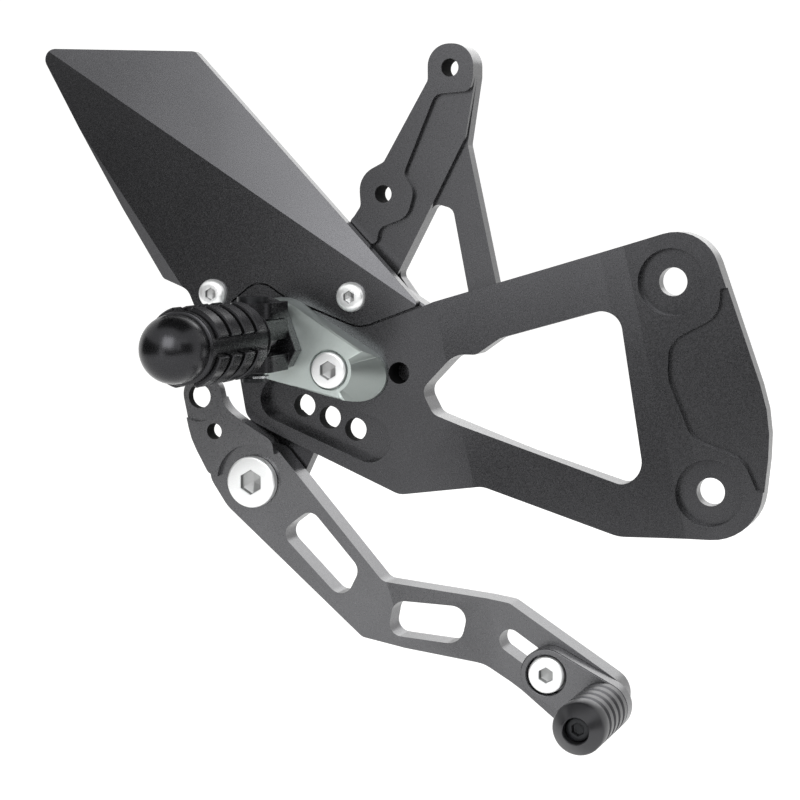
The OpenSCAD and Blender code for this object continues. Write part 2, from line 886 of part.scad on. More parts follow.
module bearing_inner_rings() {
    color("#d5d7d9")
    bearing_rings(pivot_r + race_wall, pivot_r);
}

module bearing_outer_rings() {
    color("#d5d7d9")
    bearing_rings(bearing_r - fit, bearing_r - race_wall);
}

module bearing_balls() {
    color("#d5d7d9")
    for (i = [0, 1])
        for (k = [0:ball_count - 1])
            translate([pivot[0], lever_face + (i + 0.5) * bearing_l, pivot[1]])
                rotate([0, 360 * k / ball_count, 0])
                    translate([ball_ring_r, 0, 0])
                        sphere(r = ball_r, $fn = 24);
}

// Outline of the pedal arm, from the pivot boss to the toe
lever_outline = rounded([
    from(pivot, 8.4, 13.4, 7),
    from(pivot, 51, -34.6, 5),
    from(pivot, 97.2, -41.2, 4),
    from(slot_start, 47.6, -16.2, 9),
    from(slot_start, 28.5, -36.6, 9),
    from(slot_start, 4.4, -17.8, 8),
    from(slot_start, -9.4, -8.8, 12),
    from(pivot, 43, -55.8, 4),
    from(pivot, -11, -9.8, 14),
    from(pivot, -19.4, 2.6, 8),
    from(pivot, -13, 13.4, 6),
]);

// Outline of the upper arm, round the pushrod hole
upper_arm_outline = rounded([
    from(clevis_hole, -8.4, 8.4, 7.6),
    from(clevis_hole, 7.8, 8.4, 7.6),
    from(clevis_hole, 9.6, -3, 12),
    from(pivot, -3.4, 22.4, 10),
    from(pivot, 8.4, 15.6, 5),
    from(pivot, 10, 4, 3),
    from(pivot, -2, -2, 0),
    from(pivot, -17.6, 2.6, 3),
    from(clevis_hole, -3.2, -16, 30),
]);

lever_window_1 = rounded([
    from(pivot, 10.2, -18.6, 4.5),
    from(pivot, 22.8, -9.2, 4.5),
    from(pivot, 42.2, -30.6, 5),
    from(pivot, 35.8, -43.4, 5),
]);

lever_window_2 = rounded([
    from(pivot, 55.4, -41.4, 4.5),
    from(pivot, 82.4, -43.4, 5.5),
    from(pivot, 79.6, -57.2, 5.5),
    from(pivot, 53, -54, 4.5),
]);

// Section across the pedal arm: pivot end, slope and toe end
lever_lean = 17;
lever_knee_s = -128.4;
lever_foot_s = -95.4;

module lever_section() {
    section_prism(lever_lean)
        polygon([
            [-through * 2, lever_face],
            [lever_knee_s, lever_face],
            [lever_foot_s, toe_face],
            [through, toe_face],
            [through, toe_back],
            [lever_foot_s, toe_back],
            [lever_knee_s, lever_back],
            [-through * 2, lever_back],
        ]);
}

module brake_lever() {
    color("#55565a")
    difference() {
        union() {
            intersection() {
                slab(-through, 0) polygon(lever_outline);
                lever_section();
            }
            slab(lever_face, upper_arm_back) polygon(upper_arm_outline);
            difference() {
                slab(upper_arm_face, lever_face + 0.1) polygon(upper_arm_outline);
                bar(pivot, spotface_r, -through, lever_face);
            }
        }
        // Thin tongue for the pushrod clevis
        bar(clevis_hole, clevis_land_r, -through, tongue_face);
        bar(clevis_hole, clevis_land_r, tongue_face + tongue_t, upper_arm_back + skin);
        bar(clevis_hole, clevis_hole_d / 2, -through, skin);
        bar(spring_hole, spring_hole_d / 2, -through, skin);
        bar(pivot, bearing_r, -through, skin);
        slab(-through, skin) polygon(lever_window_1);
        slab(-through, skin) polygon(lever_window_2);
        slab(-through, skin) polygon(link(slot_start, slot_w / 2, slot_end, slot_w / 2));
    }
}

module toe_clamp_bolt() {
    color("#e8e9ea")
    button_screw(toe_bolt_at, carrier_face + carrier_counterbore, m8_r,
        carrier_t - carrier_counterbore + lever_t + nut_h + 1.5, m8_head_r, clamp_head_h, m8_hex);
}

module toe_clamp_nut() {
    color("#c9cacc")
    difference() {
        union() {
            hex_bar(toe_bolt_at, nut_across, toe_back + nut_flange_h, toe_back + nut_h + 1);
            bar(toe_bolt_at, nut_flange_r, toe_back + 0.02, toe_back + nut_flange_h + 0.1);
        }
        bar(toe_bolt_at, m8_r, toe_back - skin, toe_back + 20);
    }
}

module toe_carrier() {
    color("#4a4b4e")
    difference() {
        slab(carrier_face, toe_face - 0.02)
            polygon(link(toe_bolt_at, carrier_r, toe_peg_at, carrier_end_r));
        bar(toe_bolt_at, m8_head_r + counterbore_gap, -through, carrier_face + carrier_counterbore);
        bar(toe_bolt_at, m8_r, -through, 0);
        bar(toe_peg_at, m6_r, -through, 0);
    }
}

// Grooved sleeve with a chamfered end
module toe_peg_sleeve() {
    r = toe_peg_d / 2;
    groove = 1.1;
    grooves = 5;
    pitch = (toe_peg_l - 11) / grooves;
    end_bevel = 2.6;
    color("#222326")
    translate([toe_peg_at[0], carrier_face, toe_peg_at[1]])
        rotate([90, 0, 0])
            difference() {
                rotate_extrude()
                    polygon(concat(
                        [[m6_r + hole_play, 0], [r - 0.8, 0], [r, 0.8]],
                        [for (i = [0:grooves - 1]) each [
                            [r, 3 + i * pitch],
                            [r - groove, 3 + i * pitch + 0.5],
                            [r - groove, 3 + i * pitch + 1.9],
                            [r, 3 + i * pitch + 2.4]]],
                        [[r, toe_peg_l - end_bevel], [r - end_bevel, toe_peg_l], [m6_r + hole_play, toe_peg_l]]
                    ));
                translate([0, 0, toe_peg_l - toe_socket_depth]) cylinder(r = m6_head_r, h = toe_socket_depth + skin);
            }
}

module toe_peg_bolt() {
    head_seat = carrier_face - toe_peg_l + toe_socket_depth;
    head_face = carrier_face - toe_peg_l + 0.8;
    color("#6a6b6e")
    difference() {
        union() {
            bar(toe_peg_at, m6_r - fit, head_seat, toe_face - 1);
            bar(toe_peg_at, m6_head_r - 0.25, head_face, head_seat);
        }
        hex_bar(toe_peg_at, m6_cap_hex, head_face - skin, head_face + 2.8);
    }
}

side_plate();
heel_guard();
heel_guard_bolts();
cylinder_bracket();
cylinder_bracket_bolts();
peg_adapter();
adapter_bolt();
peg_base();
peg_base_bolt();
hinge_pin();
hinge_pin_clip();
peg_return_spring();
peg_barrel();
peg_end_cap();
end_cap_screw();
lever_pivot_bolt();
lever_pivot_nut();
pivot_spacer();
bearing_inner_rings();
bearing_balls();
bearing_outer_rings();
brake_lever();
toe_clamp_bolt();
toe_clamp_nut();
toe_carrier();
toe_peg_sleeve();
toe_peg_bolt();
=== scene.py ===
import json
import math
from contextlib import contextmanager

import bmesh
import bpy
import numpy as np
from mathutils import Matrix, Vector


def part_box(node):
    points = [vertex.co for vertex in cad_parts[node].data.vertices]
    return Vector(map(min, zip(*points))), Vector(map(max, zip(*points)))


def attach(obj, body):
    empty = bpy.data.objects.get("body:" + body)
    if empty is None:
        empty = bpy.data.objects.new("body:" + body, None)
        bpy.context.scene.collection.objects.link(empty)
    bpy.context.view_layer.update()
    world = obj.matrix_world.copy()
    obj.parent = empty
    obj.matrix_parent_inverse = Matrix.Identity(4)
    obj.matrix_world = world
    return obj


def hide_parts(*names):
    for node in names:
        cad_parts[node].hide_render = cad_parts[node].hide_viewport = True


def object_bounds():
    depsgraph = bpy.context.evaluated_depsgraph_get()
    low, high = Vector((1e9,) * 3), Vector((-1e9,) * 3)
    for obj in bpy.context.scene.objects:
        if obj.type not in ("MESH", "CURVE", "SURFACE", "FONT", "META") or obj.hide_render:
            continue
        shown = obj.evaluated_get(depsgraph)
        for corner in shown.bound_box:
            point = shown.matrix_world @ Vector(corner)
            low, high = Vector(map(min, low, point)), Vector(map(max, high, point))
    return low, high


bl_info = {
    "name": "Rear-set footrest",
    "version": (1, 0, 0),
    "blender": (4, 5, 0),
    "location": "View3D > Sidebar > Footrest",
    "description": "Finishes the brake side rear-set: edges, screws, peg, springs, materials and studio",
    "category": "Add Mesh",
}

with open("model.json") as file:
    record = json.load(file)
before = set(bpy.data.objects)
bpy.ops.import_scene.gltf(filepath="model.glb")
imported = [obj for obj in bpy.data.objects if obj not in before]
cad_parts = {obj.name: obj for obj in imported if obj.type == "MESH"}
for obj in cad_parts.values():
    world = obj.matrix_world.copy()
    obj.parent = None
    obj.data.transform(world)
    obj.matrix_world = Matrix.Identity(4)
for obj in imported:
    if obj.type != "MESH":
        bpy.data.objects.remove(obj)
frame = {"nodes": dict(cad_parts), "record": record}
MM = 0.001
CAD_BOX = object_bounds()
BODY_OF = {name: body for body, names in frame["record"]["behaviour"]["bodies"].items() for name in names}


def linear(code):
    """The linear RGB of an sRGB hex value: below 0.04045 divided by 12.92, above it the 2.4 power curve."""
    part = np.array([int(code[i:i + 2], 16) for i in (1, 3, 5)]) / 255
    return tuple(np.where(part <= 0.04045, part / 12.92, ((part + 0.055) / 1.055) ** 2.4).tolist())


def colour(name, code, note):
    """A colour property with its default from an sRGB hex value."""
    return bpy.props.FloatVectorProperty(
        name=name, description=note, subtype="COLOR", size=3, min=0, max=1, default=linear(code))


def length(name, metres, note):
    """A length property in metres."""
    return bpy.props.FloatProperty(name=name, description=note, subtype="DISTANCE", unit="LENGTH",
                                   min=0, default=metres, precision=5)


# Camera: a long lens at the photo's angle, in metres and millimetres
CAMERA_PLACE = (0.17121, -0.76029, 0.03168)
CAMERA_AIM = (-0.10115, -0.012, -0.04499)
CAMERA_LENS, CAMERA_SENSOR = 97.2, 36.0

# Level of the world's light on the object, and the soft lamps: name, place, width, height, watts
SOFT_LEVEL = 0.7
LAMP_AIM = (-0.1, 0, -0.05)
LAMPS = (
    ("key lamp", (-0.04, -1.15, 0.5), 0.7, 0.7, 7.5),
    ("low panel", (-0.64, -1.1, -0.06), 0.4, 0.2, 0.6),
    ("fill lamp", (1.4, -1.2, 0.5), 1.2, 1.2, 3.0),
    ("back lamp", (-0.05, 1.4, 0.62), 1.0, 0.7, 3.5),
)
# The floor's half width, and where and how far it rises behind the part
FLOOR_REACH, RISE_START, RISE_RUN, RISE_HEIGHT = 6.0, 1.6, 2.2, 3.5
# Light that the floor sends to the camera and to mirrors on top of what the lamps give it
FLOOR_LIFT = 0.4
# The part hangs from its frame bolts, so the floor lies below the lowest place of the pressed lever
FLOOR_DROP = 0.055
# Corners of the black cloth flags, in metres: the metal mirrors them as its dark sides
FLAGS = {
    "left_flag": ((-0.35, -0.66, -0.13), (-1.3, 0.1, -0.21), (-1.3, 0.1, 0.4), (-0.35, -0.66, 0.12)),
    "right_flag": ((0.55, -0.75, -0.21), (1.2, -0.1, -0.21), (1.2, -0.1, 0.4), (0.55, -0.75, 0.4)),
    "front_flag": ((-0.17, -0.5, -0.14), (0.3, -0.5, -0.14), (0.3, -0.5, 0.0), (-0.17, -0.5, 0.0)),
    "ceiling_flag": ((-0.9, -0.35, 0.9), (0.5, -0.35, 0.9), (0.5, 0.7, 0.9), (-0.9, 0.7, 0.9)),
}

# Radii of the screws' shanks, a little under those of M6 and M8
M6_SHANK, M8_SHANK = 2.97 * MM, 3.97 * MM
# Points round each turned surface, and the radius that closes one at its axis
ROUND = 96
AXIS_R = 1e-5
# Points nearer than this are one point, in metres
SAME_POINT = 2e-6
# Drift in a finish's tone: clouds about 26 mm wide
CLOUD_SCALE = 38.0


def bore(name):
    """(x, z, radius) of a stated bore, in metres."""
    mount = next(m for m in frame["record"]["mounts"] if m["name"] == name)
    return mount["pos_m"][0], mount["pos_m"][2], mount["dims"]["r_mm"] * MM


# The three adjusting holes lie in a row, 11 mm apart, up and back from the first one
ADJUSTING = [(-0.11643 - 0.01021 * i, -0.05583 + 0.00408 * i, 0.00425) for i in range(3)]
# Bores whose walls take nearly black painted shade
PLATE_BORES = [bore("spare_tapped_hole"), *ADJUSTING]
BRACKET_BORES = [bore("cylinder_hole_upper"), bore("cylinder_hole_lower")]
LEVER_BORES = [bore("pushrod_clevis_hole"), bore("lever_spring_hole")]


class FootrestColours(bpy.types.PropertyGroup):
    """Colours of the finishes."""
    plate: colour("Side plate", "#454547", "Satin black anodising on the side plate")
    guard: colour("Heel guard", "#4b4b4d", "Satin black anodising on the heel guard")
    bracket: colour("Cylinder bracket", "#4d4d4f", "Satin black anodising on the bracket")
    lever: colour("Brake lever", "#626264", "Dark grey anodising on the lever")
    adapter: colour("Peg adapter", "#bec6c3", "Titanium grey anodising on the adapter")
    peg: colour("Footpeg", "#363638", "Black anodising on the footpeg")
    toe: colour("Toe peg", "#464648", "Black anodising on the toe peg")
    steel: colour("Screws", "#f1f2f2", "Bright zinc on the screws")
    pin: colour("Pins", "#c9cbcd", "Ground steel of the pins and bearings")
    oxide: colour("Black oxide", "#2a2b2d", "Black oxide on the hinge pin and the toe peg's screw")
    floor: colour("Floor", "#f4f4f3", "Pale studio floor")


class FootrestSizes(bpy.types.PropertyGroup):
    """Sizes of the edges, screws and wire."""
    edge: length("Edge", 0.0005, "Width of the broken edges of the machined pieces")
    fine_edge: length("Fine edge", 0.00025, "Width of the broken edges of the small pieces")
    thread_depth: length("Thread depth", 0.0006, "Depth of the screw threads")
    thread_pitch: length("Thread pitch", 0.00125, "Pitch of the screw threads")
    wire: length("Spring wire", 0.0012, "Diameter of the return spring's wire")


def colours():
    """The colours as the user has set them."""
    return bpy.context.scene.footrest_colours


def sizes():
    """The sizes as the user has set them."""
    return bpy.context.scene.footrest_sizes


# Shader nodes

def add(tree, kind, sockets=None, **settings):
    """Adds a node: settings are its own values, sockets maps an input to a value or to a node's output."""
    made = tree.nodes.new(kind)
    for key, value in settings.items():
        setattr(made, key, value)
    for key, value in (sockets or {}).items():
        if isinstance(value, bpy.types.NodeSocket):
            tree.links.new(value, made.inputs[key])
        else:
            made.inputs[key].default_value = value
    return made


def new_material(name):
    """An empty node material with its output and its Object coordinates."""
    made = bpy.data.materials.new(name)
    made.use_nodes = True
    tree = made.node_tree
    tree.nodes.clear()
    out = add(tree, "ShaderNodeOutputMaterial")
    place = add(tree, "ShaderNodeTexCoord").outputs["Object"]
    return made, tree, out, place


def seen_rays(tree):
    """1 on rays from the camera, mirrors and glass, 0 on the others."""
    ray = add(tree, "ShaderNodeLightPath")
    mirror = add(tree, "ShaderNodeMath", {0: ray.outputs["Is Camera Ray"], 1: ray.outputs["Is Glossy Ray"]},
                 operation="MAXIMUM")
    return add(tree, "ShaderNodeMath", {0: mirror.outputs[0], 1: ray.outputs["Is Transmission Ray"]},
               operation="MAXIMUM").outputs[0]


def metal(name, base, metallic, roughness, grain_mm, grain_depth, drift=0.12, stretch=(1, 1, 1),
          specular=0.5):
    """A metal finish: fine grain of a real size as bump, and slow drift in tone and roughness."""
    made, tree, out, place = new_material(name)
    turned = add(tree, "ShaderNodeMapping", {"Vector": place, "Scale": stretch}).outputs[0]
    grain = add(tree, "ShaderNodeTexNoise", {"Vector": turned, "Scale": 1 / (grain_mm * MM), "Detail": 3.0,
                                             "Roughness": 0.6})
    cloud = add(tree, "ShaderNodeTexNoise", {"Vector": place, "Scale": CLOUD_SCALE, "Detail": 2.0})
    low, high = [tuple(c * (1 + k * drift) for c in base) + (1,) for k in (-1, 1)]
    tone = add(tree, "ShaderNodeMix", data_type="RGBA")
    tree.links.new(cloud.outputs[0], tone.inputs[0])
    tone.inputs[6].default_value, tone.inputs[7].default_value = low, high
    fleck = add(tree, "ShaderNodeMapRange", {0: grain.outputs[0], 1: 0.3, 2: 0.7, 3: 0.97, 4: 1.03})
    shade = add(tree, "ShaderNodeVectorMath", {0: tone.outputs[2], 1: fleck.outputs[0]},
                operation="MULTIPLY")
    rough = add(tree, "ShaderNodeMapRange", {0: grain.outputs[0], 1: 0.2, 2: 0.8,
                                             3: roughness - 0.05, 4: roughness + 0.06})
    bump = add(tree, "ShaderNodeBump", {"Height": grain.outputs[0], "Strength": 0.5,
                                        "Distance": grain_depth * MM})
    skin = add(tree, "ShaderNodeBsdfPrincipled", {
        "Base Color": shade.outputs[0], "Roughness": rough.outputs[0], "Normal": bump.outputs[0],
        "Metallic": metallic, "Specular IOR Level": specular})
    tree.links.new(skin.outputs[0], out.inputs[0])
    return made


def scaled(base, factor):
    """A colour times a factor, at most 1."""
    return tuple(min(1, factor * v) for v in base)


def finishes():
    """Every finish of the part, made once."""
    if "black anodised plate" in bpy.data.materials:
        return bpy.data.materials
    c = colours()
    # Bead-blasted 6082 aluminium with black anodising: a soft satin with a very fine grain
    metal("black anodised plate", c.plate, 0.85, 0.27, 0.7, 0.007)
    metal("black anodised guard", c.guard, 0.85, 0.26, 0.7, 0.006)
    metal("black anodised bracket", c.bracket, 0.85, 0.28, 0.7, 0.007)
    metal("grey anodised lever", c.lever, 0.85, 0.28, 0.7, 0.007)
    # Painted highlight on the broken edges: a lighter copy of the plate's anodising, a little smoother, so
    # the edges read as catching light
    metal("cut edge", scaled(c.plate, 1.5), 0.9, 0.26, 0.6, 0.006)
    # Bore walls: nearly black painted shade standing for the shade inside the holes, rough and with little
    # shine
    metal("bored wall", scaled(c.plate, 0.12), 0.0, 0.85, 0.5, 0.01, specular=0.08)
    # Black oxide on the hinge pin and the toe peg's screw: darker and duller than bright steel
    metal("black oxide steel", c.oxide, 0.7, 0.35, 0.5, 0.006)
    # The broached sockets of the bright screws: duller, and darkened as painted shade in the recess
    metal("broached socket", scaled(c.steel, 0.42), 0.9, 0.4, 0.5, 0.01)
    # Milled aluminium, titanium grey, with the cutter's fine lines
    metal("titanium grey adapter", c.adapter, 0.9, 0.38, 0.7, 0.012, 0.06, (1, 6, 1))
    # The adapter's cone is turned with a finer cut, and painted shade makes it darker than the milled face
    metal("turned titanium grey cone", scaled(c.adapter, 0.5), 0.9, 0.36, 0.5, 0.008, 0.06)
    # Black anodising on turned bar: smooth enough to show soft highlights on the dome
    metal("black anodised peg", c.peg, 0.9, 0.27, 0.6, 0.005)
    metal("black anodised toe peg", c.toe, 0.75, 0.34, 0.6, 0.006)
    # Zinc plated steel screw heads: the passivated zinc is cloudy, so part of its light is spread evenly
    metal("bright zinc screw", c.steel, 0.7, 0.32, 0.5, 0.004, 0.03)
    # Ground steel, slightly warmer and duller
    metal("ground steel", c.pin, 1.0, 0.26, 0.4, 0.004, 0.04)
    return bpy.data.materials


# Meshes from arrays

@contextmanager
def edited(mesh):
    """Opens a mesh for bmesh tools, and writes it back when they are done."""
    work = bmesh.new()
    work.from_mesh(mesh)
    yield work
    work.to_mesh(mesh)
    work.free()


def new_object(name, mesh, sharp_from=None):
    """An object at the origin in the scene, smooth up to the angle from which its edges are sharp."""
    obj = bpy.data.objects.new(name, mesh)
    bpy.context.scene.collection.objects.link(obj)
    mesh.shade_smooth()
    if sharp_from:
        mesh.set_sharp_from_angle(angle=math.radians(sharp_from))
    return obj


def mesh_piece(name, points, quads, replaced=(), body=None, materials=()):
    """A closed piece from vertex and face arrays, in metres, riding on its body."""
    mesh = bpy.data.meshes.new(name)
    mesh.from_pydata(points.reshape(-1, 3).tolist(), [], quads)
    mesh.validate()
    for key in materials:
        mesh.materials.append(finishes()[key])
    obj = new_object(name, mesh, sharp_from=32)
    if replaced:
        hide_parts(*replaced)
    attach(obj, body or BODY_OF[replaced[0]])
    return obj


def stage_sheet(name, points, material):
    """A sheet of the stage from a square grid of points."""
    side = len(points)
    grid = np.arange(side * side).reshape(side, side)
    quads = np.stack([grid[:-1, :-1], grid[:-1, 1:], grid[1:, 1:], grid[1:, :-1]], -1).reshape(-1, 4)
    mesh = bpy.data.meshes.new(name)
    mesh.from_pydata(points.reshape(-1, 3).tolist(), [], quads.tolist())
    mesh.materials.append(material)
    sheet = new_object(name, mesh)
    return sheet


def ring_faces(rows, columns, start=0):
    """Quads of a grid of closed rows, then one face over the first row and one over the last."""
    k = np.arange(rows - 1)[:, None] * columns
    j = np.arange(columns)[None, :]
    on = (j + 1) % columns
    quads = np.stack([k + j, k + on, k + columns + on, k + columns + j], -1).reshape(-1, 4) + start
    first = (np.arange(columns)[::-1] + start).tolist()
    last = (np.arange(columns) + (rows - 1) * columns + start).tolist()
    return quads.tolist() + [first, last]


def outward(obj):
    """Turns the faces of a closed mesh outwards."""
    with edited(obj.data) as work:
        bmesh.ops.recalc_face_normals(work, faces=work.faces)


def bore_shade_mask(mesh, bores):
    """Marks the faces that look inwards at a bore's axis, which lies along Y, for the painted shade on bore
    walls: bores are (x, z, radius).
    """
    centre = np.empty(len(mesh.polygons) * 3)
    normal = np.empty(len(mesh.polygons) * 3)
    mesh.polygons.foreach_get("center", centre)
    mesh.polygons.foreach_get("normal", normal)
    centre, normal = centre.reshape(-1, 3)[:, ::2], normal.reshape(-1, 3)[:, ::2]
    marked = np.zeros(len(centre), bool)
    for x, z, radius in bores:
        inward = np.array([x, z]) - centre
        marked |= (np.hypot(*inward.T) < radius + 0.3 * MM) & ((inward * normal).sum(1) > 0.7 * radius)
    return marked


def softened(name, width, finish, edge_finish, angle=30, bores=()):
    """A copy of a node with its edges broken: doubles merged, flat faces joined, then bevelled."""
    mesh = frame["nodes"][name].data.copy()
    mesh.name = name + "_finished"
    with edited(mesh) as work:
        bmesh.ops.remove_doubles(work, verts=work.verts, dist=SAME_POINT)
        bmesh.ops.dissolve_limit(work, angle_limit=math.radians(0.4), verts=work.verts, edges=work.edges)
    mesh.materials.clear()
    for key in (finish, edge_finish, "bored wall"):
        mesh.materials.append(finishes()[key])
    # Faces of the listed bores take the third finish, nearly black painted shade inside the holes
    mesh.polygons.foreach_set("material_index", (bore_shade_mask(mesh, bores) * 2).astype(np.int32))
    obj = new_object(name + "_finished", mesh, sharp_from=angle)
    edge = obj.modifiers.new("broken edges", "BEVEL")
    edge.width = width
    edge.segments = 2
    edge.limit_method = "ANGLE"
    edge.angle_limit = math.radians(angle)
    # The bevel faces take the second finish, which is a painted highlight along the edges of the anodised
    # pieces
    edge.material = 1
    edge.miter_outer = "MITER_ARC"
    edge.use_clamp_overlap = True
    flat = obj.modifiers.new("flat faces", "WEIGHTED_NORMAL")
    flat.keep_sharp = True
    flat.weight = 80
    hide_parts(name)
    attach(obj, BODY_OF[name])
    return obj


def hexagon(angle, across):
    """Distance from the centre to a hexagon's side: half the flat width over the cosine inside a sixth."""
    return across / 2 / np.cos((angle + math.pi / 6) % (math.pi / 3) - math.pi / 6)


def screw_rows(head, shank_r, shank_l, across, socket, thread_from):
    """Rows (radius, height) of a screw whose head points along +h from a seat at 0.

    The radius of a row is a hexagon's in the socket and a circle's elsewhere. Along the thread it
    falls by the thread depth times a triangle wave of height over pitch less angle over a turn.
    """
    turn = np.arange(ROUND) / ROUND * 2 * math.pi
    flat = np.ones(ROUND)
    six = hexagon(turn, across)
    top = head[-1][1]
    lead = 0.2 * MM
    drill_cone = across * 0.12
    rows = [(flat * AXIS_R, flat * (top - socket - drill_cone)), (six, flat * (top - socket)),
            (six, flat * (top - lead)), (six + lead, flat * top)]
    rows += [(flat * r, flat * h) for r, h in reversed(head)]
    rows += [(flat * shank_r, flat * 0), (flat * shank_r, flat * -thread_from)]
    depth, pitch = sizes().thread_depth, sizes().thread_pitch
    rows_a_turn = 6
    steps = max(2, int((shank_l - thread_from) / pitch * rows_a_turn))
    for h in np.linspace(thread_from, shank_l, steps + 1)[1:-1]:
        wave = (h / pitch - turn / (2 * math.pi)) % 1
        fade = min(1, (h - thread_from) / pitch)
        rows.append((flat * shank_r - depth * fade * (1 - np.abs(2 * wave - 1)), flat * -h))
    rows += [(flat * (shank_r - depth), flat * -shank_l), (flat * AXIS_R, flat * -shank_l)]
    return turn, np.array([r for r, _ in rows]), np.array([h for _, h in rows])


def screw(name, node, places, side, seat, finish="bright zinc screw", socket_finish="broached socket",
          **shape):
    """Screws along Y in place of a node: side is -1 where their heads point outboard and 1 inboard."""
    low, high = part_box(node)
    shank_l = high.y - seat if side < 0 else seat - low.y
    turn, radius, height = screw_rows(shank_l=shank_l, **shape)
    points, faces = [], []
    for at in places:
        x = at[0] + radius * np.cos(turn)
        z = at[2] + radius * np.sin(turn)
        y = seat + side * height
        faces += ring_faces(*radius.shape, start=len(points) * radius.size)
        points.append(np.stack([x, y, z], -1))
    obj = mesh_piece(name, np.array(points), faces, (node,),
                     materials=(finish, socket_finish))
    # The socket is the first two rows of quads of each screw, and its floor the first end face: these take
    # the socket finish, by default darkened as painted shade
    rows, columns = radius.shape
    each = (rows - 1) * columns + 2
    within = np.arange(len(obj.data.polygons)) % each
    obj.data.polygons.foreach_set(
        "material_index", ((within < 2 * columns) | (within == each - 2)).astype(np.int32))
    outward(obj)
    return obj


def button(radius, height, flank):
    """Profile of a button head: a short flank, then an elliptical arc up to the flat round the socket."""
    a = np.linspace(0, math.radians(80), 12)
    return [(radius, 0), (radius, flank)] + [
        (radius * (0.52 + 0.48 * math.cos(t)), flank + (height - flank) * math.sin(t)) for t in a[1:]]


def low_head(radius, height):
    """Profile of a low flat head: a straight flank, then a quarter circle as its rim."""
    a = np.linspace(0, math.pi / 2, 7)
    rim = 0.9 * MM
    return [(radius, 0)] + [(radius - rim + rim * math.cos(t), height - rim + rim * math.sin(t)) for t in a]


def cap_head(radius, height):
    """Profile of a plain round cap head with a bevelled rim."""
    bevel = 0.5 * MM
    return [(radius, 0), (radius, height - bevel), (radius - bevel * 0.4, height - bevel * 0.25),
            (radius - bevel, height)]


def revolved(profile, at):
    """Points of a surface of revolution along Y: its rows are (radius, way inboard of at)."""
    turn = np.linspace(0, 2 * math.pi, ROUND + 1)[None, :-1]
    radius = np.array([r for r, _ in profile])[:, None]
    along = np.array([y for _, y in profile])[:, None]
    return np.stack([at[0] + radius * np.cos(turn), at[1] + along + 0 * turn,
                     at[2] + radius * np.sin(turn)], -1)


def link_reach(turn, start, start_r, end, end_r, steps=80):
    """Distance from the origin to a two-circle link along each angle.

    The link is every circle between its two end circles. Along the unit ray u, a circle of centre m
    and radius r ends at m.u + sqrt((m.u)^2 - m.m + r^2), and the reach is the largest of those.
    """
    s = np.linspace(0, 1, steps)[:, None]
    m = np.array(start)[None] * (1 - s) + np.array(end)[None] * s
    r = start_r * (1 - s) + end_r * s
    along = m @ np.array([np.cos(turn), np.sin(turn)])
    inside = along ** 2 - (m ** 2).sum(1, keepdims=True) + r ** 2
    return np.where(inside > 0, along + np.sqrt(np.maximum(inside, 0)), 0).max(0)


def middle(name):
    """Centre of a node's box."""
    low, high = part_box(name)
    return (low + high) / 2


def pair_middles(name):
    """Centres of the two solids of a node that holds a pair, told apart along X."""
    mesh = frame["nodes"][name].data
    co = np.empty(len(mesh.vertices) * 3)
    mesh.vertices.foreach_get("co", co)
    co = co.reshape(-1, 3)
    cut = (co[:, 0].min() + co[:, 0].max()) / 2
    halves = [co[co[:, 0] < cut], co[co[:, 0] >= cut]]
    return [(h.min(0) + h.max(0)) / 2 for h in halves]


# Operators, one for each group of pieces

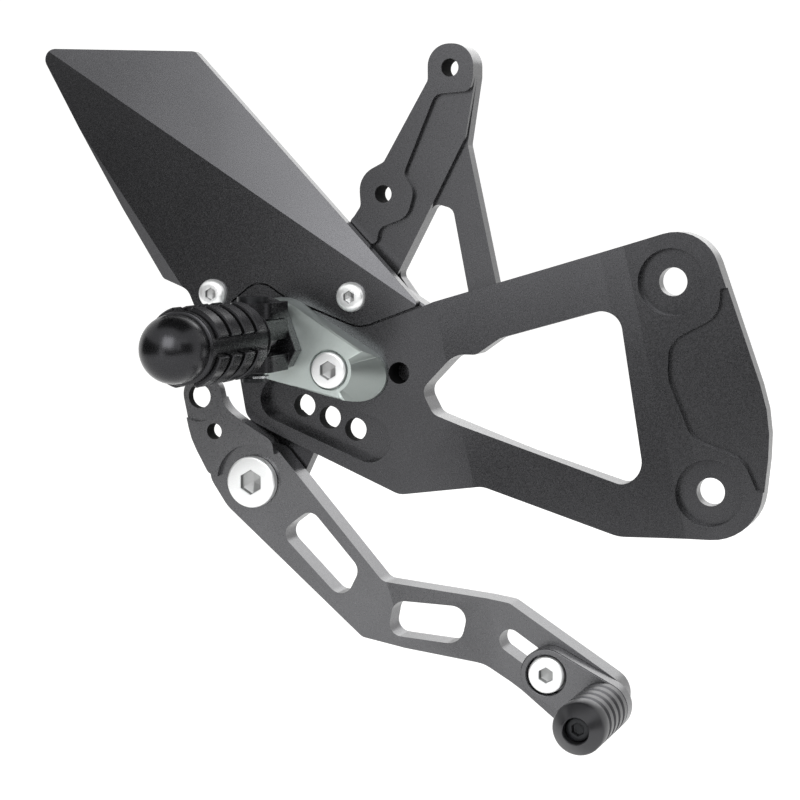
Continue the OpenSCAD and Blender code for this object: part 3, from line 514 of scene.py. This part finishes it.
class FOOTREST_OT_stage(bpy.types.Operator):
    """Floor, flags, world, soft lamps and the camera"""
    bl_idname = "footrest.stage"
    bl_label = "Studio"

    def floor(self):
        """A level sheet that rises behind the part as the square of the way past its start."""
        x, y = np.meshgrid(*[np.linspace(-FLOOR_REACH, FLOOR_REACH, 25)] * 2)
        rise = np.clip((y - RISE_START) / RISE_RUN, 0, 1)
        z = CAD_BOX[0].z - FLOOR_DROP + RISE_HEIGHT * rise ** 2
        made, tree, out, place = new_material("pale studio floor")
        cloud = add(tree, "ShaderNodeTexNoise", {"Vector": place, "Scale": 3.0})
        tone = add(tree, "ShaderNodeMapRange", {0: cloud.outputs[0], 3: 0.97, 4: 1.0})
        base = add(tree, "ShaderNodeVectorMath", {0: tuple(colours().floor), 1: tone.outputs[0]},
                   operation="MULTIPLY")
        lift = add(tree, "ShaderNodeMath", {0: seen_rays(tree), 1: FLOOR_LIFT}, operation="MULTIPLY")
        paper = add(tree, "ShaderNodeBsdfPrincipled", {
            "Base Color": base.outputs[0], "Roughness": 0.9, "Specular IOR Level": 0.1,
            "Emission Color": (1, 1, 1, 1), "Emission Strength": lift.outputs[0]})
        tree.links.new(paper.outputs[0], out.inputs[0])
        stage_sheet("floor", np.stack([x, y, z], -1), made)

    def flags(self):
        """Cloth sheets between four corners: (a(1-u) + bu)(1-v) + (d(1-u) + cu)v. Only mirrors see them."""
        made, tree, out, place = new_material("black flag cloth")
        weave = add(tree, "ShaderNodeTexNoise", {"Vector": place, "Scale": 400.0})
        tone = add(tree, "ShaderNodeMapRange", {0: weave.outputs[0], 3: 0.008, 4: 0.014})
        cloth = add(tree, "ShaderNodeBsdfDiffuse", {"Color": tone.outputs[0]})
        tree.links.new(cloth.outputs[0], out.inputs[0])
        u, v = [g[..., None] for g in np.meshgrid(*[np.linspace(0, 1, 9)] * 2)]
        for name, corners in FLAGS.items():
            a, b, c, d = [np.array(p) for p in corners]
            flag = stage_sheet(name, (a * (1 - u) + b * u) * (1 - v) + (d * (1 - u) + c * u) * v, made)
            flag.visible_camera = False
            flag.visible_shadow = False
            flag.visible_diffuse = False

    def world(self, scene):
        """Even white light: a lower level on the object, and white where it is seen."""
        world = bpy.data.worlds.new("studio")
        scene.world = world
        world.use_nodes = True
        tree = world.node_tree
        tree.nodes.clear()
        out = add(tree, "ShaderNodeOutputWorld")
        soft = add(tree, "ShaderNodeBackground", {"Color": (1, 1, 1, 1), "Strength": SOFT_LEVEL})
        clear = add(tree, "ShaderNodeBackground", {"Color": (1, 1, 1, 1), "Strength": 1.0})
        both = add(tree, "ShaderNodeMixShader",
                   {0: seen_rays(tree), 1: soft.outputs[0], 2: clear.outputs[0]})
        tree.links.new(both.outputs[0], out.inputs[0])

    def lamps(self, scene):
        """Rectangular soft lamps, turned to the middle of the part."""
        for name, place, width, height, power in LAMPS:
            data = bpy.data.lights.new(name, "AREA")
            data.shape = "RECTANGLE"
            data.size = width
            data.size_y = height
            data.energy = power
            lamp = bpy.data.objects.new(name, data)
            lamp.location = place
            lamp.rotation_euler = (Vector(LAMP_AIM) - Vector(place)).to_track_quat("-Z", "Y").to_euler()
            scene.collection.objects.link(lamp)

    def camera(self, scene):
        """The camera at the photo's viewing angle."""
        data = bpy.data.cameras.new("camera")
        data.sensor_width = CAMERA_SENSOR
        data.lens = CAMERA_LENS
        data.clip_start = 0.05
        data.clip_end = 50
        camera = bpy.data.objects.new("camera", data)
        camera.location = CAMERA_PLACE
        camera.rotation_euler = (Vector(CAMERA_AIM) - camera.location).to_track_quat("-Z", "Y").to_euler()
        scene.collection.objects.link(camera)
        scene.camera = camera

    def execute(self, context):
        self.floor()
        self.flags()
        self.world(context.scene)
        self.lamps(context.scene)
        self.camera(context.scene)
        context.scene.view_settings.view_transform = "Standard"
        return {"FINISHED"}


class FOOTREST_OT_machined(bpy.types.Operator):
    """The machined aluminium pieces with their broken edges"""
    bl_idname = "footrest.machined"
    bl_label = "Machined pieces"

    def execute(self, context):
        edge, fine = sizes().edge, sizes().fine_edge
        # Every edge finish here except the peg's is a lighter painted highlight on the broken edges
        softened("side_plate", edge, "black anodised plate", "cut edge", bores=PLATE_BORES)
        softened("heel_guard", fine, "black anodised guard", "cut edge")
        softened("cylinder_bracket", edge, "black anodised bracket", "cut edge", bores=BRACKET_BORES)
        softened("brake_lever", edge, "grey anodised lever", "cut edge", bores=LEVER_BORES)
        softened("toe_carrier", edge, "grey anodised lever", "cut edge")
        softened("peg_base", fine, "black anodised peg", "black anodised peg")
        return {"FINISHED"}


class FOOTREST_OT_adapter(bpy.types.Operator):
    """The peg adapter: a link of two circles, with a cone round its bolt at the front end"""
    bl_idname = "footrest.adapter"
    bl_label = "Peg adapter"

    def execute(self, context):
        low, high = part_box("peg_adapter")
        bolt = middle("adapter_bolt")
        peg = middle("peg_base_bolt")
        head_h = 4 * MM
        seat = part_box("adapter_bolt")[0].y + head_h
        # The two circles of the link, seen from the bolt: their centres and radii
        wide_at = (peg.x - bolt.x - 0.5 * MM, peg.z - bolt.z - 2 * MM)
        wide_r = 15 * MM
        nose_at = (9.6 * MM, -2 * MM)
        nose_r = 9.6 * MM
        # The cone: the radius that it starts from, and how far it drops over its width
        cone_r, cone_w, cone_h = 8.8 * MM, 9 * MM, 7 * MM
        counter_r, counter_bevel = 7.3 * MM, 0.3 * MM
        rim = 0.6 * MM
        turn = np.linspace(-math.pi, math.pi, 289)[:-1]
        reach = link_reach(turn, wide_at, wide_r, nose_at, nose_r)
        # The cone lies ahead of the bolt, from 66 degrees below the level to 30 above it
        cone_from, cone_to, fade = -66, 30, 14
        degrees = np.degrees(turn)
        ahead = np.clip((degrees - cone_from) / fade, 0, 1) * np.clip((cone_to - degrees) / fade, 0, 1)
        drop = ahead * np.maximum(0, reach - cone_r) * cone_h / cone_w
        start = np.where(ahead > 0, np.minimum(cone_r, reach - rim), reach - rim)
        flat = np.ones_like(turn)
        rows = [
            (flat * AXIS_R, flat * seat),
            (flat * counter_r, flat * seat),
            (flat * counter_r, flat * (low.y + counter_bevel)),
            (flat * (counter_r + counter_bevel), flat * low.y),
            (start, flat * low.y),
            (np.maximum(start, reach - rim), low.y + np.maximum(0, drop - rim / 2)),
            (reach, low.y + np.maximum(rim, drop + rim / 2)),
            (reach, flat * high.y),
            (flat * AXIS_R, flat * high.y),
        ]
        points = np.stack([[bolt.x + r * np.cos(turn), y, bolt.z + r * np.sin(turn)] for r, y in rows])
        made = mesh_piece("adapter_link", np.moveaxis(points, 1, -1), ring_faces(len(rows), len(turn)),
                          ("peg_adapter",),
                          materials=("titanium grey adapter", "turned titanium grey cone"))
        # The cone's painted shade, its darker finish, is on the two bands of faces that leave the row at
        # its start
        cone_band = 4
        turned = np.zeros(len(made.data.polygons), np.int32)
        turned[cone_band * len(turn):(cone_band + 2) * len(turn)] = np.tile(drop > 0.8 * MM, 2)
        made.data.polygons.foreach_set("material_index", turned)
        outward(made)
        return {"FINISHED"}


class FOOTREST_OT_screws(bpy.types.Operator):
    """Screws with domed or flat heads, sockets and threads"""
    bl_idname = "footrest.screws"
    bl_label = "Screws"

    def outboard(self, name, node, places, head_h, **shape):
        """Screws whose heads point outboard: the seat is one head's height in from the node's outer end."""
        screw(name, node, places, -1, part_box(node)[0].y + head_h, **shape)

    def inboard(self, name, node, places, head_h, **shape):
        """Screws whose heads point inboard: the seat is one head's height in from the node's inner end."""
        screw(name, node, places, 1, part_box(node)[1].y - head_h, **shape)

    def execute(self, context):
        self.outboard("guard_screws", "heel_guard_bolts", pair_middles("heel_guard_bolts"), 2.8 * MM,
                      head=button(5.5 * MM, 2.8 * MM, 0.7 * MM), shank_r=M6_SHANK,
                      across=4 * MM, socket=1.8 * MM, thread_from=3 * MM)
        self.outboard("adapter_screw", "adapter_bolt", [middle("adapter_bolt")], 4 * MM,
                      head=low_head(6.7 * MM, 4 * MM), shank_r=M8_SHANK,
                      across=6 * MM, socket=2.6 * MM, thread_from=6 * MM)
        self.outboard("toe_clamp_screw", "toe_clamp_bolt", [middle("toe_clamp_bolt")], 4.6 * MM,
                      head=low_head(6.7 * MM, 4.6 * MM), shank_r=M8_SHANK,
                      across=5 * MM, socket=2.8 * MM, thread_from=8 * MM)
        self.outboard("lever_pivot_screw", "lever_pivot_bolt", [middle("lever_pivot_bolt")], 3 * MM,
                      head=low_head(9.6 * MM, 3 * MM), shank_r=M8_SHANK,
                      across=8 * MM, socket=2.6 * MM, thread_from=13 * MM)
        # The toe peg's screw sits deep in the sleeve's bore
        screw("toe_peg_screw", "toe_peg_bolt", [middle("toe_peg_bolt")], -1,
              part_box("toe_peg_sleeve")[0].y + 8 * MM, "black oxide steel", "black oxide steel",
              head=cap_head(4.3 * MM, 5 * MM), shank_r=M6_SHANK,
              across=4 * MM, socket=2.4 * MM, thread_from=6 * MM)
        self.inboard("peg_base_screw", "peg_base_bolt", [middle("peg_base_bolt")], 7 * MM,
                     head=cap_head(6.5 * MM, 7 * MM), shank_r=M8_SHANK,
                     across=6 * MM, socket=3.8 * MM, thread_from=8 * MM)
        self.inboard("bracket_screws", "cylinder_bracket_bolts", pair_middles("cylinder_bracket_bolts"),
                     5 * MM, head=cap_head(5 * MM, 5 * MM), shank_r=M6_SHANK,
                     across=5 * MM, socket=2.7 * MM, thread_from=4 * MM)
        return {"FINISHED"}


class FOOTREST_OT_barrel(bpy.types.Operator):
    """Barrel of the footpeg: ribbed rings round a core, and the tongue that the hinge pin goes through"""
    bl_idname = "footrest.barrel"
    bl_label = "Peg barrel"

    def ribbed(self, start, core_end):
        """Barrel of radius core + (rib - core) * along * round, both shares between 0 and 1."""
        axis = middle("peg_end_cap")
        core_r, rib_r = 10.6 * MM, 14 * MM
        rings, pitch, ring_t, chamfer = 4, 10.6 * MM, 7.4 * MM, 0.5 * MM
        first_ring = 1 * MM
        # Share along the axis: 0 in the grooves between the rings, 1 on a ring, less on its chamfers
        along, rise = [0.0], [0.0]
        shoulder = 1 - chamfer / (rib_r - core_r)
        for i in range(rings):
            at = first_ring + i * pitch
            along += [at, at, at + chamfer, at + ring_t - chamfer, at + ring_t, at + ring_t]
            rise += [0, shoulder, 1, 1, shoulder, 0]
        along.append(core_end - start)
        rise.append(0)
        # Share round the axis: four ribs, with a gap between each two
        ribs, gap, first_rib, side_bevel = 4, 28.0, 16, 2
        angle, share = [], []
        for i in range(ribs):
            a = first_rib + i * 360 / ribs
            b = a + 360 / ribs - gap
            angle += [a, a, *np.linspace(a + side_bevel, b - side_bevel, 9), b, b,
                      *np.linspace(b + 5, b + gap - 5, 3)]
            share += [0, 0.86, *[1] * 9, 0.86, 0, *[0] * 3]
        turn = np.radians(angle)[None]
        radius = core_r + (rib_r - core_r) * np.array(rise)[:, None] * np.array(share)[None]
        y = start + np.array(along)[:, None] + 0 * turn
        body = np.stack([axis.x + radius * np.cos(turn), y, axis.z + radius * np.sin(turn)], -1)
        barrel = mesh_piece("ribbed_barrel", body, ring_faces(*radius.shape), (), BODY_OF["peg_barrel"],
                            ("black anodised peg",))
        outward(barrel)

    def tongue(self, core_end):
        """The node's inboard end, cut off just inside the core and closed again."""
        mesh = frame["nodes"]["peg_barrel"].data.copy()
        overlap = 0.5 * MM
        with edited(mesh) as work:
            bmesh.ops.remove_doubles(work, verts=work.verts, dist=SAME_POINT)
            cut = bmesh.ops.bisect_plane(
                work, geom=work.verts[:] + work.edges[:] + work.faces[:], clear_inner=True,
                plane_co=(0, core_end - overlap, 0), plane_no=(0, 1, 0))["geom_cut"]
            bmesh.ops.holes_fill(work, edges=[e for e in cut if isinstance(e, bmesh.types.BMEdge)])
        mesh.materials.clear()
        mesh.materials.append(finishes()["black anodised peg"])
        tongue = new_object("peg_tongue", mesh, sharp_from=30)
        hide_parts("peg_barrel")
        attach(tongue, BODY_OF["peg_barrel"])

    def execute(self, context):
        core_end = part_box("hinge_pin")[0].y - 3.4 * MM
        self.ribbed(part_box("peg_barrel")[0].y, core_end)
        self.tongue(core_end)
        return {"FINISHED"}


class FOOTREST_OT_toe_peg(bpy.types.Operator):
    """Grooved sleeve of the toe peg, with its conical end"""
    bl_idname = "footrest.toe_peg"
    bl_label = "Toe peg"

    def execute(self, context):
        low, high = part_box("toe_peg_sleeve")
        at = middle("toe_peg_sleeve")
        reach = high.y - low.y
        radius = (high.x - low.x) / 2
        hole_r, bore_r, bore_l, bore_bevel = 3.1 * MM, 4.6 * MM, 8 * MM, 0.3 * MM
        cone_l, end_bevel = 3.4 * MM, 0.6 * MM
        grooves, first_groove, pitch = 4, 10.5 * MM, 6.2 * MM
        groove_w, groove_h, groove_bevel = 2.9 * MM, 1.4 * MM, 0.5 * MM
        profile = [(hole_r, reach), (hole_r, bore_l), (bore_r, bore_l), (bore_r, bore_bevel),
                   (bore_r + bore_bevel, 0), (radius - 0.5 * MM, cone_l), (radius, cone_l + 0.8 * MM)]
        for i in range(grooves):
            start = first_groove + i * pitch
            profile += [(radius, start), (radius - groove_h, start + groove_bevel),
                        (radius - groove_h, start + groove_w - groove_bevel), (radius, start + groove_w)]
        profile += [(radius, reach - end_bevel), (radius - end_bevel, reach), (hole_r, reach)]
        # The last row lies on the first, so the two end faces are left out and the rows are joined
        faces = ring_faces(len(profile), ROUND)[:-2]
        sleeve = mesh_piece("grooved_sleeve", revolved(profile, (at.x, low.y, at.z)), faces,
                            ("toe_peg_sleeve",), materials=("black anodised toe peg",))
        with edited(sleeve.data) as work:
            bmesh.ops.remove_doubles(work, verts=work.verts, dist=1e-7)
        outward(sleeve)
        return {"FINISHED"}


class FOOTREST_OT_peg(bpy.types.Operator):
    """Domed end cap and return spring of the footpeg"""
    bl_idname = "footrest.peg"
    bl_label = "Footpeg"

    def dome(self):
        """The end cap: a collar, a fine groove, then a short cylinder with a quarter circle over it."""
        low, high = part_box("peg_end_cap")
        at = (low + high) / 2
        reach = high.y - low.y
        collar = 0.9 * MM
        radius = (high.x - low.x) / 2 - collar
        screw_r, screw_l = 3.0 * MM, 6.4 * MM
        profile = [(AXIS_R, screw_l), (screw_r, screw_l), (screw_r, 0), (radius + collar, 0),
                   (radius + collar, 2.0 * MM), (radius + 0.7 * MM, 2.3 * MM), (radius, 2.6 * MM),
                   (radius - 0.25 * MM, 2.9 * MM), (radius, 3.3 * MM)]
        arc = np.linspace(0, math.pi / 2, 40)[:-1]
        profile += [(radius * math.cos(t), reach - radius + radius * math.sin(t)) for t in arc]
        profile += [(AXIS_R, reach)]
        points = revolved([(r, -h) for r, h in profile], (at.x, high.y, at.z))
        cap = mesh_piece("peg_dome", points, ring_faces(len(profile), ROUND), ("peg_end_cap",),
                         materials=("black anodised peg",))
        outward(cap)

    def spring(self):
        """The return spring: a wire of round section along a helix round the hinge pin, with two tails."""
        low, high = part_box("peg_return_spring")
        pin = middle("hinge_pin")
        wire = sizes().wire / 2
        coil, turns, tail = 4.85 * MM, 3, 3.6 * MM
        t = np.linspace(0, 1, 181)
        angle = t * turns * 2 * math.pi
        rise = np.interp(t, [0, 1], [low.z + wire, high.z - wire])
        path = np.stack([pin.x + coil * np.cos(angle), pin.y + coil * np.sin(angle), rise], -1)
        tails = path[[0, -1]] + np.array([[0, -tail, 0], [0, tail, 0]])
        path = np.vstack([tails[:1], path, tails[1:]])
        ahead = np.gradient(path, axis=0)
        ahead /= np.linalg.norm(ahead, axis=1, keepdims=True)
        side = np.cross(ahead, [0, 0, 1])
        side /= np.linalg.norm(side, axis=1, keepdims=True)
        up = np.cross(side, ahead)
        around = np.linspace(0, 2 * math.pi, 13)[None, :-1, None]
        tube = path[:, None] + wire * (side[:, None] * np.cos(around) + up[:, None] * np.sin(around))
        spring = mesh_piece("return_spring_wire", tube, ring_faces(len(path), 12), ("peg_return_spring",),
                            materials=("ground steel",))
        outward(spring)

    def execute(self, context):
        self.dome()
        self.spring()
        return {"FINISHED"}


class FOOTREST_OT_fittings(bpy.types.Operator):
    """Finishes of the small fittings that keep their own shape"""
    bl_idname = "footrest.fittings"
    bl_label = "Fittings"

    def execute(self, context):
        done = {
            "black oxide steel": ("hinge_pin",),
            "bright zinc screw": ("lever_pivot_nut", "toe_clamp_nut"),
            "ground steel": ("hinge_pin_clip", "pivot_spacer", "bearing_inner_rings", "bearing_balls",
                             "bearing_outer_rings", "end_cap_screw"),
        }
        for finish, names in done.items():
            for name in names:
                mesh = frame["nodes"][name].data
                mesh.materials.clear()
                mesh.materials.append(finishes()[finish])
        return {"FINISHED"}


OPERATORS = (FOOTREST_OT_stage, FOOTREST_OT_machined, FOOTREST_OT_adapter, FOOTREST_OT_screws,
             FOOTREST_OT_barrel, FOOTREST_OT_peg, FOOTREST_OT_toe_peg, FOOTREST_OT_fittings)


class FOOTREST_PT_panel(bpy.types.Panel):
    """Lists the steps, the sizes and the colours"""
    bl_idname = "FOOTREST_PT_panel"
    bl_label = "Rear-set footrest"
    bl_space_type = "VIEW_3D"
    bl_region_type = "UI"
    bl_category = "Footrest"

    def draw(self, context):
        for step in OPERATORS:
            self.layout.operator(step.bl_idname)
        for group in (context.scene.footrest_sizes, context.scene.footrest_colours):
            for key in group.bl_rna.properties.keys():
                if key not in ("rna_type", "name"):
                    self.layout.prop(group, key)


CLASSES = (FootrestColours, FootrestSizes) + OPERATORS + (FOOTREST_PT_panel,)


def register():
    """Registers the classes, and the colours and sizes on the scene."""
    for each in CLASSES:
        bpy.utils.register_class(each)
    bpy.types.Scene.footrest_colours = bpy.props.PointerProperty(type=FootrestColours)
    bpy.types.Scene.footrest_sizes = bpy.props.PointerProperty(type=FootrestSizes)


def unregister():
    """Takes away what register added."""
    del bpy.types.Scene.footrest_sizes
    del bpy.types.Scene.footrest_colours
    for each in reversed(CLASSES):
        bpy.utils.unregister_class(each)


def main():
    """Makes the stage and every group of pieces."""
    register()
    bpy.ops.footrest.stage()
    bpy.ops.footrest.machined()
    bpy.ops.footrest.adapter()
    bpy.ops.footrest.screws()
    bpy.ops.footrest.barrel()
    bpy.ops.footrest.peg()
    bpy.ops.footrest.toe_peg()
    bpy.ops.footrest.fittings()


if __name__ == "__main__":
    main()
